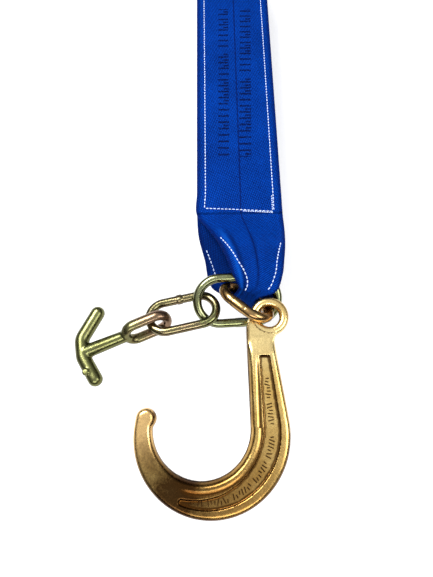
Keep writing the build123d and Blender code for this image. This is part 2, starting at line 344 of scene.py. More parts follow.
def thread_material(colour):
    """Bonded thread: pale, faintly blue, twisted along its length."""
    graph = Graph("thread", roughness=0.55)
    place = graph.place()
    twist = graph.noise(place, 1400.0, 2.0)
    stain = graph.noise(place, 60.0, 2.0)
    tone = graph.mix(graph.spread(stain, 0.35, 0.7) * 0.5, rgb(*colour), rgb(*STAIN_BLUE))
    graph.feed(color=tone, normal=graph.bump(twist, 0.4, 0.0003))
    return graph.material


def plated_material(
    name, tones, roughness, grain, pitted=0.025, shade=0.8, sides=0.6, groove_shade=0.0, patches=()
):
    """Zinc or chromate plate: three drifting tones, a fourth, dark one painted as shade and reflection
    on slopes, sides and grooves, and a grain.

    The painted dark slope is one wave of a sine, so a round wire is pale on top, dark at 45 degrees and
    paler below.
    """
    graph = Graph(name, roughness=roughness, metallic=1.0)
    place = graph.place()
    drift = graph.noise(place, 38.0, 3.0, 0.6)
    bands = (graph.noise(place, 90.0, 2.0) * 9.0).call("SINE") * 0.5 + 0.5
    colour = graph.mix(graph.spread(drift, 0.36, 0.64), rgb(*tones[0]), rgb(*tones[1]))
    colour = graph.mix(bands * graph.spread(drift, 0.44, 0.62) * 0.55, colour, rgb(*tones[2]))
    fine = graph.noise(place, grain, 4.0, 0.65)
    coarse = graph.noise(place, grain * 0.22, 3.0)
    scale = graph.spread(fine, 0.3, 0.7, roughness - 0.06, roughness + 0.1)
    flank = graph.node("ShaderNodeAttribute", {"attribute_name": "flank"}, output="Fac")
    hollow = graph.node("ShaderNodeAttribute", {"attribute_name": "hollow"}, output="Fac")
    slope = ((flank + drift * 0.3 - 0.15) * SLOPE_TURN - SLOPE_START).call("SINE")
    # Painted shade and painted reflection: the fourth tone on slopes and on sides
    colour = graph.mix(graph.spread(slope, 0.1, 1.0) * shade, colour, rgb(*tones[3]))
    colour = graph.mix(graph.spread(flank, 0.45, 0.85) * sides, colour, rgb(*tones[3]))
    # Spots of lighter and darker tone, fading with distance
    for spot, near, far, strength, tone in patches:
        ends = {0: place, 1: spot}
        away = graph.node("ShaderNodeVectorMath", {"operation": "DISTANCE"}, ends, output="Value")
        nearness = graph.spread(away + drift * 0.05 + fine * 0.02 - 0.035, near, far, strength, 0.0)
        colour = graph.mix(nearness, colour, rgb(*tone))
    # Painted shade in grooves
    colour = graph.mix(graph.spread(hollow, 0.05, 0.4) * groove_shade, colour, rgb(*tones[3]))
    height = fine * 0.5 + coarse * 0.8
    graph.feed(color=colour, roughness=scale, normal=graph.bump(height, pitted, 0.0008))
    return graph.material


def floor_material(shade):
    """Plain pale floor with hardly any tooth."""
    graph = Graph("floor", roughness=0.75)
    tone = graph.noise(graph.place(), 3.0, 2.0)
    darker = rgb(shade - 0.015, shade - 0.015, shade - 0.01)
    graph.feed(color=graph.mix(tone * 0.25, rgb(shade, shade, shade), darker))
    graph.surface.inputs["Emission Color"].default_value = rgb(1.0, 1.0, 1.0)
    graph.surface.inputs["Emission Strength"].default_value = FLOOR_GLOW
    return graph.material


# Surfaces


def unit(vectors):
    lengths = np.linalg.norm(vectors, axis=-1, keepdims=True)
    return vectors / np.maximum(lengths, 1e-12)


def bell(values, centre, width):
    """A gaussian of height 1."""
    return np.exp(-(((values - centre) / width) ** 2))


def grid_faces(rows, columns, wrap_rows, wrap_columns):
    """Quads of a grid of points, optionally closed along either direction."""
    row = np.arange(rows if wrap_rows else rows - 1)[:, None]
    column = np.arange(columns if wrap_columns else columns - 1)[None, :]
    after = (row + 1) % rows
    beside = (column + 1) % columns
    here, there = row * columns, after * columns
    corners = [here + column, there + column, there + beside, here + beside]
    shape = (row.size, column.size)
    return np.stack([np.broadcast_to(c, shape) for c in corners], axis=-1).reshape(-1, 4)


def enclosed(mesh):
    """Signed volume of a mesh: negative when its faces look inwards."""
    mesh.calc_loop_triangles()
    points = np.empty(len(mesh.vertices) * 3)
    mesh.vertices.foreach_get("co", points)
    corners = np.empty(len(mesh.loop_triangles) * 3, np.int32)
    mesh.loop_triangles.foreach_get("vertices", corners)
    a, b, c = points.reshape(-1, 3)[corners.reshape(-1, 3)].transpose(1, 0, 2)
    return float(np.einsum("ij,ij->i", a, np.cross(b, c)).sum() / 6)


def mesh_object(name, points, faces, smooth=True):
    """A mesh piece from points in millimetres."""
    mesh = bpy.data.meshes.new(name)
    faces = faces.tolist() if isinstance(faces, np.ndarray) else faces
    mesh.from_pydata((np.asarray(points).reshape(-1, 3) * MM).tolist(), [], faces)
    mesh.update()
    if enclosed(mesh) < 0:
        mesh.flip_normals()
    mesh.polygons.foreach_set("use_smooth", np.full(len(mesh.polygons), smooth))
    made = bpy.data.objects.new(name, mesh)
    bpy.context.scene.collection.objects.link(made)
    return made


def mark_shade_facts(obj):
    """Stores two facts per point for the plate's painted shade: flank, how far its normal turns from
    straight up or down, and hollow.

    Hollow is the mean height of the neighbours over the point's tangent plane, as a share of
    GROOVE_HEIGHT, evened out over the surface: 1 is a groove and -1 a ridge.
    """
    mesh = obj.data
    count = len(mesh.vertices)
    normals = np.empty(count * 3)
    mesh.vertex_normals.foreach_get("vector", normals)
    normals = normals.reshape(-1, 3)
    points = np.empty(count * 3)
    mesh.vertices.foreach_get("co", points)
    points = points.reshape(-1, 3) / MM
    ends = np.empty(len(mesh.edges) * 2, np.int32)
    mesh.edges.foreach_get("vertices", ends)
    first, second = ends.reshape(-1, 2).T
    near = np.maximum(np.bincount(first, minlength=count) + np.bincount(second, minlength=count), 1)

    def neighbours(values):
        there = np.bincount(first, values[second], count)
        return (there + np.bincount(second, values[first], count)) / near

    average = np.stack([neighbours(points[:, axis]) for axis in range(3)], axis=1)
    hollow = np.einsum("ij,ij->i", average - points, normals) / GROOVE_HEIGHT
    for _ in range(GROOVE_ROUNDS):
        hollow = 0.5 * hollow + 0.5 * neighbours(hollow)
    facts = {"flank": 1 - np.abs(normals[:, 2]), "hollow": np.clip(hollow, -1, 1)}
    for name, values in facts.items():
        mesh.attributes.new(name, "FLOAT", "POINT").data.foreach_set("value", values)


def dress(obj, material, body, replaced=()):
    """Gives a piece its material, the body it rides on and the nodes it stands for."""
    mark_shade_facts(obj)
    obj.data.materials.clear()
    obj.data.materials.append(material)
    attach(obj, body)
    if replaced:
        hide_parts(*replaced)


def turned(turns):
    """Rotation matrix from turns about X, then Y, then Z, in degrees."""
    rx, ry, rz = (Matrix.Rotation(math.radians(t), 3, axis) for t, axis in zip(turns, "XYZ"))
    return np.array(rz @ ry @ rx)


def smooth_through(knots, per_span, closed=False):
    """Cubic curve through knots: tangents are chord-weighted differences of the neighbours."""
    knots = np.asarray(knots, float)
    if closed:
        before, after = np.roll(knots, 1, 0), np.roll(knots, -1, 0)
    else:
        before = np.vstack([2 * knots[0] - knots[1], knots[:-1]])
        after = np.vstack([knots[1:], 2 * knots[-1] - knots[-2]])
    back = np.linalg.norm((knots - before).reshape(len(knots), -1), axis=1)
    ahead = np.linalg.norm((after - knots).reshape(len(knots), -1), axis=1)
    shape = (-1,) + (1,) * (knots.ndim - 1)
    back, ahead = back.reshape(shape), ahead.reshape(shape)
    slope = ((knots - before) / back * ahead + (after - knots) / ahead * back) / (back + ahead)
    spans = len(knots) if closed else len(knots) - 1
    t = np.linspace(0, 1, per_span, endpoint=False).reshape((-1,) + (1,) * (knots.ndim - 1))
    runs = []
    for index in range(spans):
        follow = (index + 1) % len(knots)
        reach = ahead[index]
        p0, p1, m0, m1 = knots[index], knots[follow], slope[index] * reach, slope[follow] * reach
        start = (2 * t**3 - 3 * t**2 + 1) * p0 + (t**3 - 2 * t**2 + t) * m0
        runs.append(start + (3 * t**2 - 2 * t**3) * p1 + (t**3 - t**2) * m1)
    if not closed:
        runs.append(knots[-1:])
    return np.concatenate(runs)


class Web:
    """The endless band: edge curves, middle surface and outward direction along its whole run."""

    def __init__(self, per_span=9):
        lower = [np.array(pair, float) for pair in LOWER_EYE]
        upper = [np.array([(-half, y, z), (half, y, z)], float) for half, y, z in UPPER_EYE]
        plain = np.arange(BOX_START + 30, BOX_END - 20, 30.0)
        back = [np.array([(-HALF_WEB, y, BACK_Z), (HALF_WEB, y, BACK_Z)]) for y in plain]
        front = [np.array([(-HALF_WEB, y, FRONT_Z), (HALF_WEB, y, FRONT_Z)]) for y in plain[::-1]]
        self.knots = np.array(lower + back + upper + front)
        self.plain_knots = len(plain)
        self.edges = smooth_through(self.knots, per_span, closed=True)
        self.edges[..., 2] = np.maximum(self.edges[..., 2], BACK_Z)
        self.per_span = per_span
        middle = self.edges.mean(axis=1)
        along = unit(np.roll(middle, -1, 0) - np.roll(middle, 1, 0))
        across = unit(self.edges[:, 1] - self.edges[:, 0])
        self.out = unit(np.cross(along, across))
        step = np.linalg.norm(middle - np.roll(middle, 1, 0), axis=1)
        self.run = np.cumsum(step)
        self.middle = middle

    def crown(self, rows, share):
        """Height of the band's soft shape over its flat middle: a swell, ripples, a hem and a flute."""
        y = self.middle[rows, 1]
        z = self.middle[rows, 2]
        front_leg = np.clip((z - FRONT_LEG_Z) / 14.0, 0, 1) * (y > -14) * (y < 600)
        lower_leg = front_leg * (y < 100)
        swell = 1.6 * np.sin(np.pi * share) ** 0.8
        ripple = 0.75 * np.sin(2 * np.pi * (share * 2.05 + 0.1)) * np.sin(np.pi * share)
        hem = 0.7 * bell(share, 0.12, 0.035) - 0.7 * bell(share, 0.2, 0.03)
        flute = -0.9 * bell(share, 0.52, 0.05)
        return front_leg * (swell + ripple) + lower_leg * (hem + flute)

    def painted_shading(self, rows, share):
        """Painted shade and painted light on the cloth, from -1 lit to 1 dark: hem, middle fold and the
        leg beneath, in the front leg's shadow.
        """
        _, y, z = self.middle[rows].transpose(2, 0, 1)
        front_leg = np.clip((z - FRONT_LEG_Z) / 8.0, 0, 1) * np.clip((88 - y) / 25.0, 0, 1)
        back_leg = (z < BACK_LEG_Z) * np.clip((95 - y) / 30.0, 0, 1)
        hem = 0.8 * bell(share, 0.22, 0.035) - 0.9 * bell(share, 0.13, 0.04)
        fold = 0.6 * bell(share, 0.52, 0.03) + 0.5 * bell(share, 0.0, 0.03)
        return front_leg * (hem + fold) + 0.6 * back_leg

    def at(self, row, share, lift):
        """Points at fractional rows and shares across, lifted along the outward direction."""
        row = np.asarray(row, float)
        low = np.floor(row).astype(int) % len(self.edges)
        high = (low + 1) % len(self.edges)
        part = (row - np.floor(row))[:, None]
        left = self.edges[low, 0] * (1 - part) + self.edges[high, 0] * part
        right = self.edges[low, 1] * (1 - part) + self.edges[high, 1] * part
        out = unit(self.out[low] * (1 - part) + self.out[high] * part)
        share = np.asarray(share, float)
        crown = self.crown(low, share) * (1 - part[:, 0]) + self.crown(high, share) * part[:, 0]
        return left + (right - left) * share[:, None] + out * (crown + lift)[:, None], out

    def front_row(self, y):
        """Row number where the front of the band, between the eyes, passes a place along the strap."""
        first = (len(LOWER_EYE) + self.plain_knots + len(UPPER_EYE) - 1) * self.per_span
        rows = np.arange(first, len(self.edges) + 1)
        return np.interp(-np.asarray(y, float), -self.middle[rows % len(self.edges), 1], rows)


def band_piece(name, web):
    """A closed slab swept along the band: its section is a flat with half-round edges."""
    shares = 0.5 - 0.5 * np.cos(np.linspace(0, np.pi, BAND_COLUMNS))
    shares = 0.25 * shares + 0.75 * np.linspace(0, 1, BAND_COLUMNS)
    rounds = np.linspace(np.pi / 2, -np.pi / 2, 7)[1:-1]
    rows = np.arange(len(web.edges))
    half = PLY / 2
    points = []
    uv = []
    width = np.linalg.norm(web.edges[:, 1] - web.edges[:, 0], axis=1)
    inset = half / width

    def ring(share, lift):
        inner = inset + share * (1 - 2 * inset)
        place, _ = web.at(rows, inner, np.full(len(rows), lift))
        return place

    for share in shares:
        points.append(ring(share, half))
        uv.append(share)
    across = unit(web.edges[:, 1] - web.edges[:, 0])
    for angle in rounds:
        points.append(ring(1.0, half * math.sin(angle)) + across * half * math.cos(angle))
        uv.append(1.0)
    for share in shares[::-1]:
        points.append(ring(share, -half))
        uv.append(share)
    for angle in rounds[::-1]:
        points.append(ring(0.0, half * math.sin(angle)) - across * half * math.cos(angle))
        uv.append(0.0)
    points = np.stack(points, axis=1)
    made = mesh_object(name, points, grid_faces(points.shape[0], points.shape[1], True, True))
    weave = np.zeros((points.shape[0], points.shape[1], 3))
    weave[:, :, 0] = np.array(uv)[None, :] * 2 * HALF_WEB * MM
    weave[:, :, 1] = web.run[:, None] * MM
    made.data.attributes.new("weave", "FLOAT_VECTOR", "POINT").data.foreach_set("vector", weave.ravel())
    # Painted shade and painted light, stored per point
    painted_shading = web.painted_shading(rows[:, None], np.array(uv)[None, :])
    made.data.attributes.new("painted_shading", "FLOAT", "POINT").data.foreach_set("value", painted_shading.ravel())
    return made


def ply_piece(name, low, shift, half_width):
    """A flat ply with half-round long edges, swept along Y."""
    rounds = np.linspace(np.pi / 2, -np.pi / 2, 9)
    radius = PLY / 2
    right = np.stack([half_width - radius + radius * np.cos(rounds), radius * np.sin(rounds)], axis=1)
    section = np.vstack([right, -right])
    ys = np.linspace(BOX_START + 0.6, BOX_END - 0.6, 60)
    points = np.zeros((len(ys), len(section), 3))
    points[:, :, 0] = section[None, :, 0] + shift
    points[:, :, 2] = section[None, :, 1] + low + radius
    points[:, :, 1] = ys[:, None]
    faces = grid_faces(len(ys), len(section), False, True).tolist()
    faces = [face[::-1] for face in faces]
    count = len(section)
    faces.append(list(reversed(range(count))))
    faces.append([(len(ys) - 1) * count + i for i in range(count)])
    made = mesh_object(name, points, faces)
    weave = np.zeros((len(ys), count, 3))
    weave[:, :, 0] = (points[:, :, 0] + HALF_WEB) * MM
    weave[:, :, 1] = ys[:, None] * MM
    made.data.attributes.new("weave", "FLOAT_VECTOR", "POINT").data.foreach_set("vector", weave.ravel())
    return made


def stitch_points(places, outs, pitch, share, radius):
    """Short arched stitches along a line: each is an oval tube whose ends dip below the surface."""
    step = np.linalg.norm(np.diff(places, axis=0), axis=1)
    run = np.concatenate([[0], np.cumsum(step)])
    count = max(int(run[-1] / pitch), 1)
    starts = (np.arange(count) + 0.5 - share / 2) * run[-1] / count
    t = np.linspace(0, 1, 7)
    at = starts[:, None] + t[None, :] * run[-1] / count * share
    centre = np.stack([np.interp(at, run, places[:, axis]) for axis in range(3)], axis=-1)
    out = unit(np.stack([np.interp(at, run, outs[:, axis]) for axis in range(3)], axis=-1))
    along = unit(np.gradient(centre, axis=1))
    side = np.cross(along, out)
    centre = centre + out * (radius * 0.95 * np.sin(np.pi * t) ** 0.6 - radius * 0.55)[None, :, None]
    thick = radius * (0.35 + 0.65 * np.sin(np.pi * np.clip(t, 0.02, 0.98)) ** 0.5)
    turn = np.linspace(0, 2 * np.pi, 8, endpoint=False)
    points = (
        centre[:, :, None, :]
        + side[:, :, None, :] * (thick[None, :, None, None] * np.cos(turn)[None, None, :, None] * 1.15)
        + out[:, :, None, :] * (thick[None, :, None, None] * np.sin(turn)[None, None, :, None] * 0.8)
    )
    faces = []
    base = grid_faces(len(t), len(turn), False, True)
    block = len(t) * len(turn)
    for index in range(count):
        faces.extend((base[:, ::-1] + index * block).tolist())
        first = index * block
        last = first + block - len(turn)
        faces.append([first + i for i in reversed(range(len(turn)))])
        faces.append([last + i for i in range(len(turn))])
    return points.reshape(-1, 3), faces, count * block


def stitch_piece(name, lines, pitch, share, radius):
    """Several rows of stitches as one piece."""
    points, faces, offset = [], [], 0
    for places, outs in lines:
        p, f, size = stitch_points(places, outs, pitch, share, radius)
        points.append(p)
        faces.extend([[i + offset for i in face] for face in f])
        offset += size
    return mesh_object(name, np.concatenate(points), faces)


def link_piece(name, spec, welds=(), sides=40):
    """A round wire swept along two straights and two half circles; a weld is a swell of the wire."""
    centre, turns, half, bend, wire = spec
    straight = np.linspace(-half, half, SIDE_STATIONS, endpoint=False)
    angle = np.linspace(-np.pi / 2, np.pi / 2, BEND_STATIONS, endpoint=False)
    path = np.concatenate(
        [
            np.stack([straight, np.full(SIDE_STATIONS, -bend)], 1),
            np.stack([half + bend * np.cos(angle), bend * np.sin(angle)], 1),
            np.stack([-straight, np.full(SIDE_STATIONS, bend)], 1),
            np.stack([-half - bend * np.cos(angle), -bend * np.sin(angle)], 1),
        ]
    )
    path = np.column_stack([path, np.zeros(len(path))])
    along = unit(np.roll(path, -1, 0) - np.roll(path, 1, 0))
    up = np.array([0.0, 0.0, 1.0])
    side = np.cross(along, up)
    turn = np.linspace(0, 2 * np.pi, sides, endpoint=False)
    radius = np.full((len(path), sides), wire)
    for place, reach, height in welds:
        gap = np.linalg.norm(path - np.array(place), axis=1)
        swell = height * np.exp(-((gap / reach) ** 4))
        radius += swell[:, None] * (0.75 + 0.25 * np.sin(3 * turn + 1.0))[None, :]
        radius -= bell(gap, reach * 0.9, 0.9)[:, None] * height * 0.45
    flow = 0.04 * np.sin(5 * turn)[None, :] * np.sin(np.linspace(0, 14 * np.pi, len(path)))[:, None]
    radius += flow
    points = path[:, None, :] + radius[:, :, None] * (
        np.cos(turn)[None, :, None] * side[:, None, :] + np.sin(turn)[None, :, None] * up
    )
    points = points @ turned(turns).T + np.array(centre)
    return mesh_object(name, points, grid_faces(len(path), sides, True, True))


def reforged(node, voxel, rounds, shape=None):
    """A copy of a forged node: voxel skin, relaxed so that steps blend, then shaped by a function."""
    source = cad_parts[node]
    mesh = source.data.copy()
    made = bpy.data.objects.new(node + "_skin", mesh)
    bpy.context.scene.collection.objects.link(made)
    remesh = made.modifiers.new("skin", "REMESH")
    remesh.mode = "VOXEL"
    remesh.voxel_size = voxel * MM
    relax = made.modifiers.new("relax", "SMOOTH")
    relax.factor = 0.5
    relax.iterations = rounds
    graph = bpy.context.evaluated_depsgraph_get()
    baked = bpy.data.meshes.new_from_object(made.evaluated_get(graph))
    made.modifiers.clear()
    made.data = baked
    bpy.data.meshes.remove(mesh)
    points = np.empty(len(baked.vertices) * 3)
    baked.vertices.foreach_get("co", points)
    points = points.reshape(-1, 3) / MM
    if shape is not None:
        points = shape(points)
        baked.vertices.foreach_set("co", (points * MM).ravel())
    baked.polygons.foreach_set("use_smooth", np.full(len(baked.polygons), True))
    baked.update()
    return made


def hook_local(points):
    """Points in the J-hook's own plane: across, along and through it."""
    x, y, z = (points - np.array(HOOK_EYE)).T
    c, s = math.cos(HOOK_TILT), math.sin(HOOK_TILT)
    return np.stack([x, y * c + z * s, -y * s + z * c], axis=1)


def hook_world(local):
    """The reverse of hook_local."""
    u, v, w = local.T
    c, s = math.cos(HOOK_TILT), math.sin(HOOK_TILT)
    return np.stack([u, v * c - w * s, v * s + w * c], axis=1) + np.array(HOOK_EYE)


def throat_depth(u, v):
    """Distance into the J-hook from its throat: a circle at the bow and a line at the shank."""
    radial = np.hypot(u - THROAT_CENTRE[0], v - THROAT_CENTRE[1]) - THROAT_RADIUS
    at_bow = (v < THROAT_CENTRE[1]) | (u < THROAT_CENTRE[0])
    return np.where(at_bow, radial, u - SHANK_FACE)


def hook_crown(points):
    """Draws the bow's faces down towards the throat, and those of the shank's top down to the eye's.

    The inner band becomes a round ridge, and the shank runs into the eye without a step.
    """
    local = hook_local(points)
    u, v, w = local.T
    depth = throat_depth(u, v)
    reach = np.clip(depth / DRAW_REACH, 0, 1)
    ease = np.clip((-32 - v) / 22.0, 0, 1)
    left = np.clip((u + 118.0) / 24.0, 0.35, 1)
    drop = DRAW_DROP * (1 - reach) ** 2 * ease * left
    valley = CHANNEL_DROP * bell(depth, 10.5, 2.2) * ease * np.clip((u + 95) / 12, 0, 1)
    w = np.sign(w) * np.maximum(np.abs(w) - (drop + valley) * (np.abs(w) > 2.0), 0.0)
    run_in = np.clip((v + 40.0) / 21.0, 0, 1)
    w -= np.sign(w) * np.maximum(np.abs(w) - EYE_HALF, 0) * run_in**2 * (3 - 2 * run_in)
    return hook_world(np.stack([u, v, w], axis=1))


def paint_hook_shade(obj):
    """Adds the hook's painted shade bands to the hollow fact, which darkens the plate.

    They are bells of the distance to the throat, at 0 mm down the shank and at 11 mm down shank and bow,
    and of the distance to the bow's outer edge.
    """
    mesh = obj.data
    points = np.empty(len(mesh.vertices) * 3)
    mesh.vertices.foreach_get("co", points)
    u, v, w = hook_local(points.reshape(-1, 3) / MM).T
    depth = throat_depth(u, v)
    valley = 0.42 * bell(depth, 10.8, 2.3) * np.clip((-50 - v) / 20.0, 0, 1)
    valley *= np.clip((u + 95) / 12, 0, 1) * (np.abs(w) > 2)
    shank = 0.45 * bell(depth, 0.0, 3.0) * np.clip((v + 118) / 20.0, 0, 1) * (v < -6)
    outer = BOW_RADIUS - np.hypot(u - BOW_CENTRE[0], v - BOW_CENTRE[1])
    rim = 0.5 * bell(outer, 0.0, 2.0) * np.clip((-100 - v) / 25.0, 0, 1)
    shaded = np.maximum(np.maximum(valley, shank), rim)
    hollow = np.empty(len(mesh.vertices))
    mesh.attributes["hollow"].data.foreach_get("value", hollow)
    mesh.attributes["hollow"].data.foreach_set("value", np.maximum(hollow, shaded))


def tick_piece(name):
    """Low boxes in the J-hook's channel: a dark bar across its upper end, a painted shadow of the
    channel's step, then strokes that spell nothing.
    """
    chance = np.random.default_rng(STROKE_SEED)
    spots = []
    for v in np.arange(-64, -110, -SHANK_STEP):
        spots.append((-6.4 + (-62 - v) * 0.075, v, 0.0))
    for angle in np.arange(-3, -98, -BOW_STEP):
        turn = math.radians(angle)
        u = STROKE_CENTRE[0] + STROKE_RADIUS * math.cos(turn)
        v = STROKE_CENTRE[1] + STROKE_RADIUS * math.sin(turn)
        spots.append((u, v, turn))
    points, faces = [], []
    corners = np.array([(i, j, k) for i in (-1, 1) for j in (-1, 1) for k in (-1, 1)], float)
    quads = [(0, 1, 3, 2), (4, 6, 7, 5), (0, 4, 5, 1), (2, 3, 7, 6), (0, 2, 6, 4), (1, 5, 7, 3)]
    # A dark box that is a painted shadow under the step at the channel's upper end
    step_shadow = corners * np.array([5.2, 0.9, 0.6]) + np.array([-7.2, -42.2, 6.8])
    faces.extend(quads)
    points.append(hook_world(step_shadow))
    for index, (u, v, turn) in enumerate(spots):
        if index % 8 == 7:
            continue
        long = 2.8 if chance.random() > 0.4 else 1.7
        shift = chance.choice([-1.0, 0.0, 1.0]) if long < 2 else 0.0
        lean = turn + chance.uniform(-0.35, 0.35)
        box = corners * np.array([long, 0.55, 0.55])
        box[:, 0] += shift
        c, s = math.cos(lean), math.sin(lean)
        x, y, z = box.T
        flat = np.stack([x * c - y * s + u, x * s + y * c + v, z + STROKE_HEIGHT], axis=1)
        faces.extend([[corner + len(points) * 8 for corner in quad] for quad in quads])
        points.append(hook_world(flat))
    return mesh_object(name, np.concatenate(points), faces, smooth=False)


# Settings


class BridleWebSettings(bpy.types.PropertyGroup):
    deep: bpy.props.FloatVectorProperty(
        name="Deep blue", size=3, subtype="COLOR", default=(0.0, 0.004, 0.05)
    )
    bright: bpy.props.FloatVectorProperty(
        name="Bright blue", size=3, subtype="COLOR", default=(0.0, 0.066, 0.5)
    )
    thread: bpy.props.FloatVectorProperty(
        name="Thread", size=3, subtype="COLOR", default=(0.62, 0.72, 0.95)
    )
    pitch: bpy.props.FloatProperty(name="Stitch pitch, mm", default=4.4)
    thread_radius: bpy.props.FloatProperty(name="Thread radius, mm", default=0.54)


class BridleMetalSettings(bpy.types.PropertyGroup):
    roughness: bpy.props.FloatProperty(name="Plate roughness", default=0.21)
    voxel: bpy.props.FloatProperty(name="Skin voxel, mm", default=0.8)
    relax: bpy.props.IntProperty(name="Skin relaxing", default=4)


class BridleStageSettings(bpy.types.PropertyGroup):
    floor_shade: bpy.props.FloatProperty(name="Floor shade", default=0.5)
    floor_depth: bpy.props.FloatProperty(name="Floor height, below the lowest swing, mm", default=-60.0)
    lens: bpy.props.FloatProperty(name="Lens, mm", default=27.05)
    sky: bpy.props.FloatProperty(name="Sky strength", default=0.8)
    lamps: bpy.props.FloatProperty(name="Lamp strength", default=1.0)


# Operators


class BRIDLE_OT_webbing(bpy.types.Operator):
    """Lays the webbing band and its two inner plies"""

    bl_idname = "bridle.webbing"
    bl_label = "Lay webbing"

    def execute(self, context):
        settings = context.scene.bridle_web
        material = webbing_material(settings.deep, settings.bright)
        dress(band_piece("web_band", Web()), material, "strap", ["outer_web"])
        front_low = BACK_Z + 2 * PLY_STEP - PLY / 2
        back_low = BACK_Z + PLY_STEP - PLY / 2
        front = ply_piece("ply_front", front_low, -0.9, HALF_PLY)
        dress(front, material, "strap", ["inner_ply_front"])
        back = ply_piece("ply_back", back_low, 0.7, HALF_PLY)
        dress(back, material, "strap", ["inner_ply_back"])
        return {"FINISHED"}


class BRIDLE_OT_sewing(bpy.types.Operator):
    """Sews every row of stitches"""

    bl_idname = "bridle.sewing"
    bl_label = "Sew rows"

    def execute(self, context):
        settings = context.scene.bridle_web
        material = thread_material(settings.thread)
        web = Web()
        lift = PLY / 2

        def flat(points, count=120):
            path = smooth_through(np.array(points, float), count)
            share = path[:, 0] / (2 * HALF_WEB) + 0.5
            return web.at(web.front_row(path[:, 1]), share, np.full(len(path), lift))

        def eye(knots):
            path = smooth_through(np.array(knots, float), 24)
            rows = path[:, 0] * web.per_span
            return web.at(rows, path[:, 1], np.full(len(path), lift))

        def inner(points):
            path = smooth_through(np.array(points, float), 30)
            places = np.column_stack([path, np.full(len(path), PLY)])
            return places, np.tile((0.0, 0.0, 1.0), (len(path), 1))

        upper = len(web.knots) - 1 - web.plain_knots
        upper_left = [(upper - 4, 0.16), (upper - 3, 0.17), (upper - 2, 0.15), (upper - 1, 0.1)]
        upper_right = [(upper - 4, 0.84), (upper - 3, 0.83), (upper - 2, 0.85), (upper - 1, 0.9)]
        lower_left = [(1.7, 0.07), (2.3, 0.11), (3, 0.17), (4, 0.26), (5, 0.3), (5.8, 0.31)]
        rows = {
            "seam_left": [flat([(-40.5, 97.5), (-40.3, 280), (-40.6, 474)])],
            "seam_right": [flat([(40.5, 93.5), (40.7, 280), (40.5, 474)])],
            "cross_seam_lower": [flat([(-39.6, 97.0), (0, 94.6), (39.8, 91.4)])],
            "back_tack": [
                flat([(4.0, 92.7), (22, 91.3), (39.4, 89.9)]),
                flat([(38.9, 93.5), (39.0, 103), (38.9, 113.5)]),
            ],
            "cross_seam_upper": [flat([(-40.5, 475.4), (0, 475.0), (40.5, 475.4)])],
            "hem_lower_left": [eye(lower_left)],
            "hem_lower_right": [eye([(2.0, 0.93), (2.5, 0.9), (3, 0.875), (4, 0.85), (5.1, 0.8)])],
            "hem_upper_left": [eye(upper_left)],
            "hem_upper_right": [eye(upper_right)],
            "back_row_lower_left": [inner([(-28.5, 10), (-33, 26), (-40.1, 47)])],
            "back_row_lower_right": [inner([(31, 10), (35, 26), (39.5, 47)])],
            "back_row_upper_left": [inner([(-20, 575), (-27, 530), (-38, 500)])],
            "back_row_upper_right": [inner([(20, 575), (27, 530), (38, 500)])],
        }
        for node, lines in rows.items():
            tight = 0.62 if node == "back_tack" else 1.0
            pitch = settings.pitch * tight
            made = stitch_piece(node + "_thread", lines, pitch, 0.8, settings.thread_radius)
            dress(made, material, "strap", [node])
        return {"FINISHED"}


class BRIDLE_OT_links(bpy.types.Operator):
    """Bends the four wire links"""

    bl_idname = "bridle.links"
    bl_label = "Bend links"

    def execute(self, context):
        rough = context.scene.bridle_metal.roughness
        # The fourth tone of each is the painted shade
        green_tones = ((0.2, 0.21, 0.09), (0.3, 0.32, 0.17), (0.23, 0.18, 0.1), (0.025, 0.025, 0.008))
        mauve_tones = ((0.24, 0.17, 0.1), (0.18, 0.19, 0.075), (0.3, 0.14, 0.14), (0.02, 0.009, 0.008))
        brown_tones = ((0.5, 0.29, 0.1), (0.4, 0.27, 0.11), (0.5, 0.24, 0.1), (0.1, 0.034, 0.009))
        green = plated_material("zinc_green", green_tones, rough, 420.0)
        mauve = plated_material("zinc_iridescent", mauve_tones, rough, 420.0)
        brown = plated_material("chromate_brown", brown_tones, rough, 420.0)
        master = link_piece("master_wire", MASTER, [((2.0, -24.8, 0), 7.0, 0.35)])
        dress(master, green, "master_link", ["master_link"])
        chain = link_piece("chain_wire", CHAIN, [((-0.5, 17.7, 0), 4.0, 1.0)])
        dress(chain, mauve, "chain_link", ["chain_link"])
        ring = link_piece("ring_wire", RING, [((0, -17.5, 0), 9.0, 0.5)])
        dress(ring, brown, "coupling_ring", ["coupling_ring"])
        upper = link_piece("upper_wire", UPPER, [((0, 38.1, 0), 7.0, 0.3)])
        dress(upper, green, "upper_link", ["upper_link"])
        return {"FINISHED"}


